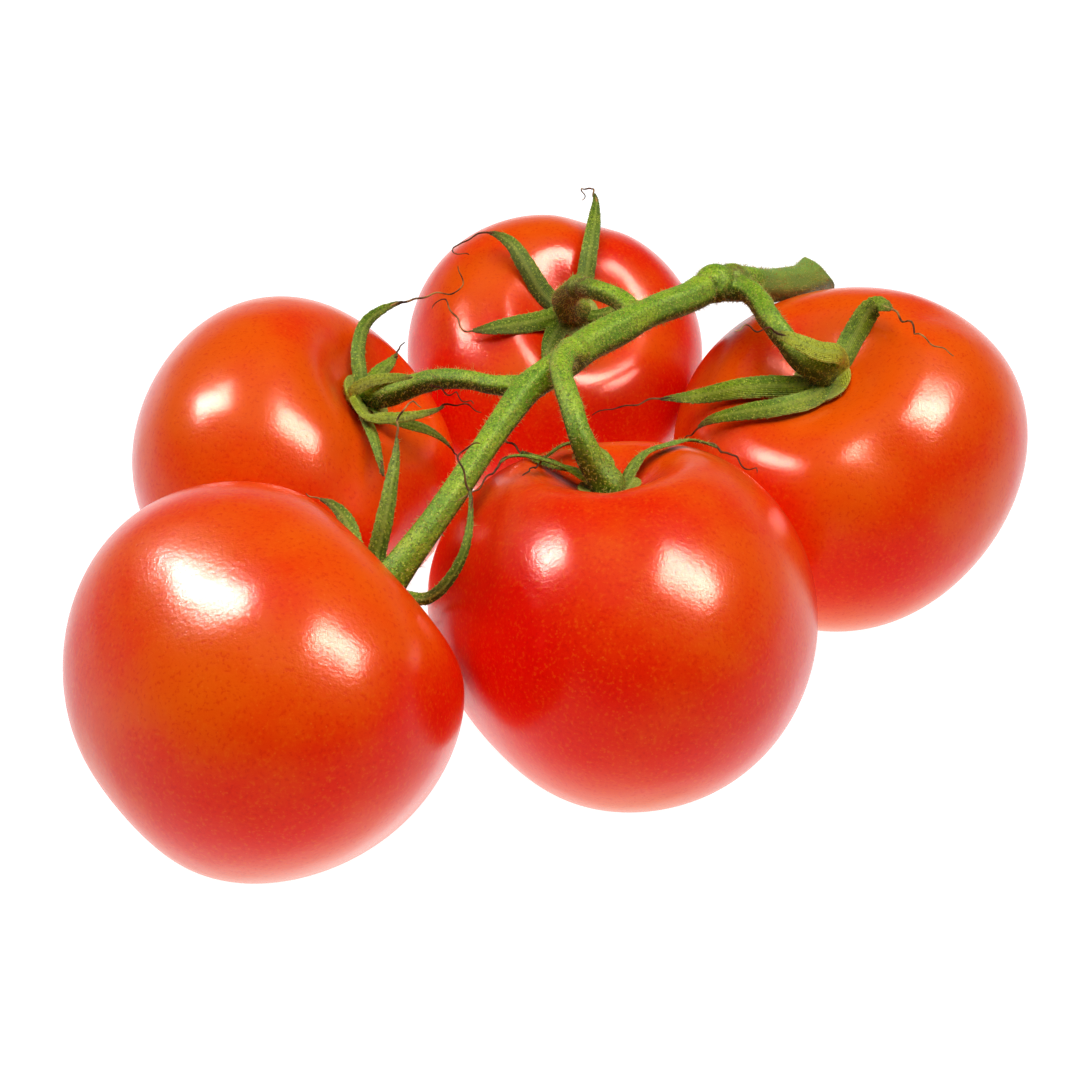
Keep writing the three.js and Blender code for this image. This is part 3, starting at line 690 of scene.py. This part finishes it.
def paint_calyx(green, number, fruit):
    """Marks how dry, how pale and how far across its sepal each point is, and what is brown or dark."""
    points = points_of(green)
    rows = []
    for sepal in SEPALS[number]:
        path, side, _ = sepal_frames(sepal, fruit, BLADE_STEPS)
        width, share = blade_widths(sepal, np.linspace(0, 1, BLADE_STEPS))
        pale = np.full(BLADE_STEPS, sepal.get("pale", 0.0))
        rows.append(np.column_stack([path, side, width, share, pale]))
    samples = np.vstack(rows)
    near = samples[nearest(points, samples[:, :3])]
    place, side, width, share, pale = near[:, :3], near[:, 3:6], near[:, 6], near[:, 7], near[:, 8]
    across = np.einsum("ij,ij->i", points - place, side) / (width / 2)
    set_attribute(green.data, "dry", share)
    set_attribute(green.data, "pale", pale)
    set_attribute(green.data, "across", np.clip(across, -1.2, 1.2))
    set_attribute(green.data, "brown", near_spots(points, BROWN_SPOTS))
    set_attribute(green.data, "shade", np.full(len(points), CALYX_SHADES[number]))


def make_calyx(number, fruit):
    """The green pad and blades of one calyx, and its dried threads as a second piece."""
    sepals = SEPALS[number]
    parts = [pad_part(fruit)]
    parts += [blade_part(sepal, fruit, number * 10 + k) for k, sepal in enumerate(sepals)]
    green = grow_together(f"calyx_{number}_blades", parts, **CALYX_MELT)
    paint_calyx(green, number, fruit)
    dress(green, LEAF, "calyx_green", f"calyx_{number}")
    threads = [thread_part(sepal, fruit, number * 31 + 5 * k) for k, sepal in enumerate(sepals)]
    tips = make_mesh(f"calyx_{number}_tips", *join_parts(threads))
    dress(tips, DRIED, "calyx_green")
    return green


# Down

def triangle_corners(obj):
    mesh = obj.data
    mesh.calc_loop_triangles()
    flat = np.zeros(len(mesh.loop_triangles) * 3, np.int32)
    mesh.loop_triangles.foreach_get("vertices", flat)
    return points_of(obj)[flat.reshape(-1, 3)]


def hairs_on(obj, name, material, slot, count, seed, lengths, girth):
    """Fine tapering hairs that stand on a piece's surface."""
    rng = np.random.default_rng(seed)
    corners = triangle_corners(obj)
    edge_a, edge_b = corners[:, 1] - corners[:, 0], corners[:, 2] - corners[:, 0]
    cross = np.cross(edge_a, edge_b)
    area = np.linalg.norm(cross, axis=1)
    chosen = rng.choice(len(area), count, p=area / area.sum())
    a, b = rng.random((2, count, 1))
    flip = (a + b) > 1
    a, b = np.where(flip, 1 - a, a), np.where(flip, 1 - b, b)
    base = corners[chosen, 0] + a * edge_a[chosen] + b * edge_b[chosen]
    lean = unit(unit(cross[chosen]) + rng.normal(0, HAIR_LEAN, (count, 3)))
    bend = rng.normal(0, HAIR_BEND, (count, 3))
    length = rng.uniform(*lengths, (count, 1))
    length = length * np.where(rng.random((count, 1)) < LONG_HAIR_SHARE, LONG_HAIR, 1.0)
    side = unit(np.cross(lean, rng.normal(0, 1, (count, 3))))
    other = np.cross(lean, side)
    rows = []
    for along, thick in HAIR_RINGS:
        middle = base + (lean + bend * along * abs(along)) * length * along
        for turn in turns_round(HAIR_SIDES):
            rows.append(middle + girth * thick * (math.cos(turn) * side + math.sin(turn) * other))
    points = np.stack(rows, 1).reshape(-1, 3)
    *walls, _, tip_cap = tube_faces(len(HAIR_RINGS), HAIR_SIDES)
    pattern = walls + [tip_cap]
    faces = [tuple(i + len(rows) * hair for i in face) for hair in range(count) for face in pattern]
    made = make_mesh(name, points, faces)
    dress(made, material, slot)


# Nodes of the materials

def set_inputs(tree, made, **inputs):
    """Sets a node's sockets by name, or by number as _0 and so on, to values or from other sockets."""
    for key, value in inputs.items():
        socket = made.inputs[int(key[1:]) if key[0] == "_" else key.replace("_", " ")]
        if isinstance(value, bpy.types.NodeSocket):
            tree.links.new(value, socket)
        else:
            socket.default_value = value


def node(tree, kind, settings=None, **inputs):
    made = tree.nodes.new(kind)
    for key, value in (settings or {}).items():
        setattr(made, key, value)
    set_inputs(tree, made, **inputs)
    return made


def mix(tree, factor, first, second):
    made = node(tree, "ShaderNodeMix", {"data_type": "RGBA"}, _0=factor, _6=first, _7=second)
    return made.outputs[2]


def maths(tree, how, first, second=0.0, clamp=False):
    settings = {"operation": how, "use_clamp": clamp}
    return node(tree, "ShaderNodeMath", settings, _0=first, _1=second).outputs[0]


def plus(tree, first, second):
    return maths(tree, "ADD", first, second)


def times(tree, first, second):
    return maths(tree, "MULTIPLY", first, second)


def ramp(tree, value, low, high, out_low=0.0, out_high=1.0):
    """A smooth step from out_low at low to out_high at high."""
    return node(tree, "ShaderNodeMapRange", {"interpolation_type": "SMOOTHSTEP"}, Value=value, From_Min=low,
                From_Max=high, To_Min=out_low, To_Max=out_high).outputs[0]


def noise(tree, coords, scale, detail, rough=0.5):
    made = node(tree, "ShaderNodeTexNoise", Vector=coords, Scale=scale, Detail=detail, Roughness=rough)
    return made.outputs[0]


def dots(tree, coords, scale, core, edge, amount=1.0, left_out=None):
    """Scattered round dots that fade from core to edge; left_out is the share of them that is missing."""
    cells = node(tree, "ShaderNodeTexVoronoi", Vector=coords, Scale=scale)
    dot = ramp(tree, cells.outputs["Distance"], core, edge, amount, 0)
    if left_out is None:
        return dot
    chance = node(tree, "ShaderNodeSeparateXYZ", Vector=cells.outputs["Color"]).outputs[0]
    return times(tree, dot, ramp(tree, chance, left_out, left_out + 0.05))


def attribute(tree, name):
    return node(tree, "ShaderNodeAttribute", {"attribute_name": name}).outputs["Fac"]


def add_bump(tree, height, strength, distance, before=None):
    made = node(tree, "ShaderNodeBump", Height=height, Strength=strength, Distance=distance)
    if before is not None:
        tree.links.new(before, made.inputs["Normal"])
    return made.outputs[0]


def upward(tree):
    """How far a surface faces up, from -1 to 1."""
    normal = node(tree, "ShaderNodeNewGeometry").outputs["Normal"]
    return node(tree, "ShaderNodeSeparateXYZ", Vector=normal).outputs[2]


def start_material(name):
    material = bpy.data.materials.new(name)
    material.use_nodes = True
    tree = material.node_tree
    coords = node(tree, "ShaderNodeTexCoord").outputs["Object"]
    return material, tree, tree.nodes["Principled BSDF"], coords


# Materials: colours are linear red, green and blue with 1 for opaque, scales are per metre, and the depths
# of bumps are in metres.

DEEP_RED = (0.88, 0.003, 0.0005, 1)
RIPE_RED = (0.88, 0.016, 0.0005, 1)
ORANGE = (0.9, 0.1, 0.0005, 1)
# Painted reflection of the bright floor, put on skin that faces down.
PAINTED_FLOOR_REFLECTION = (0.86, 0.27, 0.08, 1)
LIGHT_MOTTLE = (0.92, 0.12, 0.002, 1)
DARK_MOTTLE = (0.72, 0.003, 0.0005, 1)
SKIN_DOT = (0.95, 0.26, 0.03, 1)
TIP_SCAR = (0.22, 0.1, 0.04, 1)
SKIN_GLOSS = (1, 0.35, 0.28, 1)
SKIN_IOR = 1.35
BLUSH_SCALE = 42
BLUSH_SPREAD = 1.7
MOTTLE_SCALE = 1500
SKIN_DOT_SCALE = 1050
SKIN_DOT_AMOUNT = 0.2
SKIN_WAVE_SCALE = 90
SKIN_WAVE_DEPTH = 0.004
MOTTLE_DEPTH = 0.0004
SKIN_DOT_DEPTH = 0.0003


def make_skin():
    """Red where it is ripest and orange in patches, with painted light that makes it more orange on top and
    a painted reflection of the floor that makes it paler below, with mottling, fine dots and a tip scar.
    """
    material, tree, shader, coords = start_material("ripe_skin")
    facing = upward(tree)
    blush = noise(tree, coords, BLUSH_SCALE, 3.0)
    # Each fruit's own warmth, plus painted light: more orange where the skin faces up.
    warm_and_painted_top_light = plus(tree, attribute(tree, "warm"), ramp(tree, facing, 0.1, 1.0, 0, 0.4))
    patchy = times(tree, maths(tree, "SUBTRACT", blush, 0.5), BLUSH_SPREAD)
    warmth = maths(tree, "ADD", warm_and_painted_top_light, patchy, clamp=True)
    colour = mix(tree, ramp(tree, warmth, 0.0, 0.45), DEEP_RED, RIPE_RED)
    colour = mix(tree, ramp(tree, warmth, 0.3, 1.05), colour, ORANGE)
    # Painted reflection: skin that faces down is paled towards the bright floor seen in it.
    colour = mix(tree, ramp(tree, facing, -0.05, -0.8, 0, 0.65), colour, PAINTED_FLOOR_REFLECTION)
    mottle = noise(tree, coords, MOTTLE_SCALE, 2.0, 0.6)
    colour = mix(tree, ramp(tree, mottle, 0.52, 0.72, 0, 0.4), colour, LIGHT_MOTTLE)
    colour = mix(tree, ramp(tree, mottle, 0.46, 0.3, 0, 0.4), colour, DARK_MOTTLE)
    dot = dots(tree, coords, SKIN_DOT_SCALE, 0.08, 0.2, left_out=0.55)
    colour = mix(tree, times(tree, dot, SKIN_DOT_AMOUNT), colour, SKIN_DOT)
    colour = mix(tree, ramp(tree, attribute(tree, "polar"), 0.985, 0.994), colour, TIP_SCAR)
    normal = add_bump(tree, noise(tree, coords, SKIN_WAVE_SCALE, 1.0), 0.08, SKIN_WAVE_DEPTH)
    normal = add_bump(tree, mottle, 0.12, MOTTLE_DEPTH, normal)
    normal = add_bump(tree, dot, 0.08, SKIN_DOT_DEPTH, normal)
    roughness = ramp(tree, blush, 0.2, 0.8, 0.2, 0.23)
    set_inputs(tree, shader, Base_Color=colour, Roughness=roughness, Normal=normal, IOR=SKIN_IOR,
               Specular_Tint=SKIN_GLOSS)
    return material


# The dark tone colours the dark specks, and is also the painted shade on undersides and where a shade is
# marked.
VINE_TONES = dict(
    light=(0.31, 0.47, 0.01, 1), middle=(0.13, 0.29, 0.004, 1), dark=(0.024, 0.055, 0.001, 1))
LEAF_TONES = dict(
    light=(0.24, 0.37, 0.01, 1), middle=(0.1, 0.21, 0.003, 1), dark=(0.028, 0.055, 0.001, 1))
PALE_GREEN = (0.44, 0.46, 0.02, 1)
GLINT = (0.54, 0.6, 0.06, 1)
PORE = (0.025, 0.04, 0.002, 1)
BEAD = (0.66, 0.7, 0.08, 1)
DULL_GREEN = (0.17, 0.24, 0.05, 1)
BARK_BROWN = (0.11, 0.045, 0.012, 1)
RIB = (0.36, 0.44, 0.06, 1)
RIM = (0.42, 0.38, 0.07, 1)
WILTED = (0.09, 0.035, 0.012, 1)
GREEN_GLOSS = (0.8, 0.9, 0.3, 1)
GREEN_PATCH_SCALE = 160
GRAIN_SCALE = 1900
PORE_SCALE = 1900
BEAD_SCALE = 1500
BARK_SCALE = 420
VEIN_SCALE = 2.2
VEIN_DISTORTION = 1.2
VEIN_HEIGHT = 0.8
GRAIN_DEPTH = 0.0003


def leaf_marks(tree, colour, patches):
    """The colour with a pale midrib, a yellow rim and a wilted end added, and the height of the veins."""
    across, dry = attribute(tree, "across"), attribute(tree, "dry")
    off_middle = maths(tree, "ABSOLUTE", across)
    colour = mix(tree, ramp(tree, off_middle, 0.05, 0.3, 0.45, 0), colour, RIB)
    colour = mix(tree, ramp(tree, off_middle, 0.75, 1.0, 0, 0.45), colour, RIM)
    wilting = plus(tree, dry, times(tree, patches, 0.25))
    colour = mix(tree, ramp(tree, wilting, 0.92, 1.2), colour, WILTED)
    blade = node(tree, "ShaderNodeCombineXYZ", X=across, Y=dry).outputs[0]
    veins = node(tree, "ShaderNodeTexWave", {"bands_direction": "X"}, Vector=blade, Scale=VEIN_SCALE,
                 Distortion=VEIN_DISTORTION).outputs["Fac"]
    return colour, veins


def make_green(name, is_leaf, light, middle, dark):
    """Green in patches of light and middle, darkened with painted shade below and where a shade is marked,
    with pores, pale beads and brown places.
    """
    material, tree, shader, coords = start_material(name)
    patches = noise(tree, coords, GREEN_PATCH_SCALE, 3.0)
    colour = mix(tree, ramp(tree, patches, 0.35, 0.7), middle, light)
    # Painted shade: darker where the surface faces down.
    colour = mix(tree, ramp(tree, upward(tree), 0.6, -0.2, 0, 0.95), colour, dark)
    # On the vine the shade mark is painted shade in its funnels and crook; on a calyx it darkens its whole
    # green.
    colour = mix(tree, attribute(tree, "shade"), colour, dark)
    colour = mix(tree, attribute(tree, "pale"), colour, PALE_GREEN)
    plain = attribute(tree, "plain")
    speckled = maths(tree, "SUBTRACT", 1.0, plain, clamp=True)
    grain = noise(tree, coords, GRAIN_SCALE, 3.0, 0.65)
    colour = mix(tree, times(tree, ramp(tree, grain, 0.5, 0.36, 0, 0.7), speckled), colour, dark)
    colour = mix(tree, times(tree, ramp(tree, grain, 0.56, 0.68, 0, 0.65), speckled), colour, GLINT)
    pores = times(tree, dots(tree, coords, PORE_SCALE, 0.12, 0.32, 0.7), speckled)
    colour = mix(tree, pores, colour, PORE)
    beads = times(tree, dots(tree, coords, BEAD_SCALE, 0.1, 0.28, 0.75), speckled)
    colour = mix(tree, beads, colour, BEAD)
    colour = mix(tree, times(tree, plain, 0.75), colour, DULL_GREEN)
    broken = ramp(tree, noise(tree, coords, BARK_SCALE, 3.0), 0.3, 0.55, 0.35, 1.0)
    colour = mix(tree, times(tree, attribute(tree, "brown"), broken), colour, BARK_BROWN)
    height = plus(tree, grain, pores)
    if is_leaf:
        colour, veins = leaf_marks(tree, colour, patches)
        height = plus(tree, height, times(tree, veins, VEIN_HEIGHT))
    normal = add_bump(tree, height, 0.5, GRAIN_DEPTH)
    set_inputs(tree, shader, Base_Color=colour, Roughness=0.55, Normal=normal, Specular_IOR_Level=0.2,
               Specular_Tint=GREEN_GLOSS)
    return material


DRIED_TAN = (0.55, 0.3, 0.08, 1)
DRIED_RED = (0.16, 0.05, 0.012, 1)
DRIED_DARK = (0.05, 0.014, 0.004, 1)
DRIED_TAN_SCALE = 45
DRIED_PATCH_SCALE = 350
DRIED_GRAIN_SCALE = 2500
DRIED_GRAIN_DEPTH = 0.0002


def make_dried():
    material, tree, shader, coords = start_material("dried_tip")
    broad = noise(tree, coords, DRIED_TAN_SCALE, 1.0)
    tan = mix(tree, ramp(tree, broad, 0.42, 0.6), DRIED_RED, DRIED_TAN)
    patches = noise(tree, coords, DRIED_PATCH_SCALE, 3.0)
    colour = mix(tree, ramp(tree, patches, 0.35, 0.65), DRIED_DARK, tan)
    normal = add_bump(tree, noise(tree, coords, DRIED_GRAIN_SCALE, 2.0), 0.6, DRIED_GRAIN_DEPTH)
    set_inputs(tree, shader, Base_Color=colour, Roughness=0.8, Specular_IOR_Level=0.05, Normal=normal)
    return material


PALE_DOWN_TONES = ((0.7, 0.6, 0.14, 1), (0.45, 0.5, 0.07, 1))
RUSTY_DOWN_TONES = ((0.45, 0.15, 0.03, 1), (0.6, 0.33, 0.08, 1))
DOWN_SCALE = 900


def make_hair(name, first, second):
    material, tree, shader, coords = start_material(name)
    colour = mix(tree, ramp(tree, noise(tree, coords, DOWN_SCALE, 1.0), 0.4, 0.6), first, second)
    set_inputs(tree, shader, Base_Color=colour, Roughness=0.6, Specular_IOR_Level=0.1)
    return material


CUT_DARK = (0.34, 0.42, 0.2, 1)
CUT_LIGHT = (0.6, 0.62, 0.42, 1)
CUT_SCALE = 1200
CUT_DEPTH = 0.0003


def make_cut():
    material, tree, shader, coords = start_material("cut_face")
    grain = noise(tree, coords, CUT_SCALE, 3.0)
    normal = add_bump(tree, grain, 0.4, CUT_DEPTH)
    set_inputs(tree, shader, Base_Color=mix(tree, grain, CUT_DARK, CUT_LIGHT), Roughness=0.5, Normal=normal)
    return material


# The floor glows round the part, and fades from FLOOR_GLOW's first distance to its second, in metres. The
# stretch and shift make that glow narrower and set it a little behind the part.
FLOOR_HALF = 2500
FLOOR_DARK = (0.24, 0.24, 0.24, 1)
FLOOR_LIGHT = (0.26, 0.26, 0.26, 1)
FLOOR_SCALE = 3
GLOW_STRETCH = (1.5, 1, 1)
GLOW_SHIFT = (0, -0.1, 0)
FLOOR_GLOW = (0.55, 1.8, 1.0, 0.5)


def make_floor():
    material, tree, shader, coords = start_material("pale_floor")
    tone = mix(tree, noise(tree, coords, FLOOR_SCALE, 1.0), FLOOR_DARK, FLOOR_LIGHT)
    moved = node(tree, "ShaderNodeVectorMath", {"operation": "MULTIPLY_ADD"}, _0=coords, _1=GLOW_STRETCH,
                 _2=GLOW_SHIFT).outputs["Vector"]
    away = node(tree, "ShaderNodeVectorMath", {"operation": "LENGTH"}, _0=moved).outputs["Value"]
    set_inputs(tree, shader, Base_Color=tone, Roughness=0.9, Specular_IOR_Level=0.1,
               Emission_Color=(1, 1, 1, 1), Emission_Strength=ramp(tree, away, *FLOOR_GLOW))
    return material


# Studio: the sky is brightest at the horizon. The two keys only make highlights, and the fill lights the
# rest. A lamp's size is its width and height, and its power is in watts.

SKY_GLOW = (0.0, 0.35, 0.6, 0.05)
LAMPS = {
    "key_left": dict(place=(-180, 10, 200), aim=(-20, 0, 40), size=(50, 98), power=1.75, diffuse=False),
    "key_right": dict(place=(225, -40, 510), aim=(0, 0, 40), size=(165, 335), power=19.0, diffuse=False),
    "fill_top": dict(place=(0, 60, 900), aim=(0, 0, 0), size=(900, 900), power=9.4, glossy=False),
}


def soft_light(name, place, aim, size, power, diffuse=True, glossy=True):
    lamp = bpy.data.lights.new(name, "AREA")
    lamp.shape = "RECTANGLE"
    lamp.size, lamp.size_y = size[0] * MM, size[1] * MM
    lamp.energy = power
    made = bpy.data.objects.new(name, lamp)
    bpy.context.scene.collection.objects.link(made)
    made.location = Vector(place) * MM
    made.rotation_euler = (Vector(aim) - Vector(place)).to_track_quat("-Z", "Y").to_euler()
    made.visible_diffuse = diffuse
    made.visible_glossy = glossy
    made.visible_camera = False


def make_studio():
    corners = [(x * FLOOR_HALF, y * FLOOR_HALF, 0) for x, y in ((-1, -1), (1, -1), (1, 1), (-1, 1))]
    floor = make_mesh("floor", corners, [(0, 1, 2, 3)])
    floor.data.materials.append(make_floor())
    world = bpy.data.worlds.new("studio")
    world.use_nodes = True
    tree = world.node_tree
    direction = node(tree, "ShaderNodeTexCoord").outputs["Generated"]
    height = node(tree, "ShaderNodeSeparateXYZ", Vector=direction).outputs[2]
    set_inputs(tree, tree.nodes["Background"], Color=(1, 1, 1, 1), Strength=ramp(tree, height, *SKY_GLOW))
    bpy.context.scene.world = world
    for name, lamp in LAMPS.items():
        soft_light(name, **lamp)


def make_camera():
    rise, roll = math.radians(CAMERA_RISE), math.radians(CAMERA_ROLL)
    back = np.array([0, -math.cos(rise), math.sin(rise)])
    flat = np.array([1.0, 0, 0])
    down = np.cross(-back, flat)
    right = flat * math.cos(roll) + down * math.sin(roll)
    up = flat * math.sin(roll) - down * math.cos(roll)
    place = np.array(CAMERA_TARGET) + back * CAMERA_DISTANCE
    lens = bpy.data.cameras.new("camera")
    lens.lens = LENS
    lens.sensor_width = SENSOR_WIDTH
    lens.clip_start = CLIP_START * MM
    camera = bpy.data.objects.new("camera", lens)
    bpy.context.scene.collection.objects.link(camera)
    matrix = np.eye(4)
    matrix[:3] = np.column_stack([right, up, back, place * MM])
    camera.matrix_world = Matrix(matrix.tolist())
    bpy.context.scene.camera = camera


SKIN = make_skin()
GREEN = make_green("vine_green", False, **VINE_TONES)
LEAF = make_green("sepal_green", True, **LEAF_TONES)
DRIED = make_dried()
CUT = make_cut()
PALE_HAIR = make_hair("pale_down", *PALE_DOWN_TONES)
RUST_HAIR = make_hair("rusty_down", *RUSTY_DOWN_TONES)

make_camera()
make_studio()
bpy.context.scene.view_settings.view_transform = "Standard"
for number, fruit in FRUITS.items():
    make_fruit(number, fruit)
    green = make_calyx(number, fruit)
    hairs_on(green, f"calyx_{number}_down", PALE_HAIR, "calyx_green", seed=CALYX_DOWN_SEED + number,
             **CALYX_DOWN)
vine = make_vine()
hairs_on(vine, "vine_down", PALE_HAIR, "vine_green", **VINE_DOWN)
hairs_on(vine, "vine_rusty_down", RUST_HAIR, "vine_green", **VINE_RUSTY_DOWN)
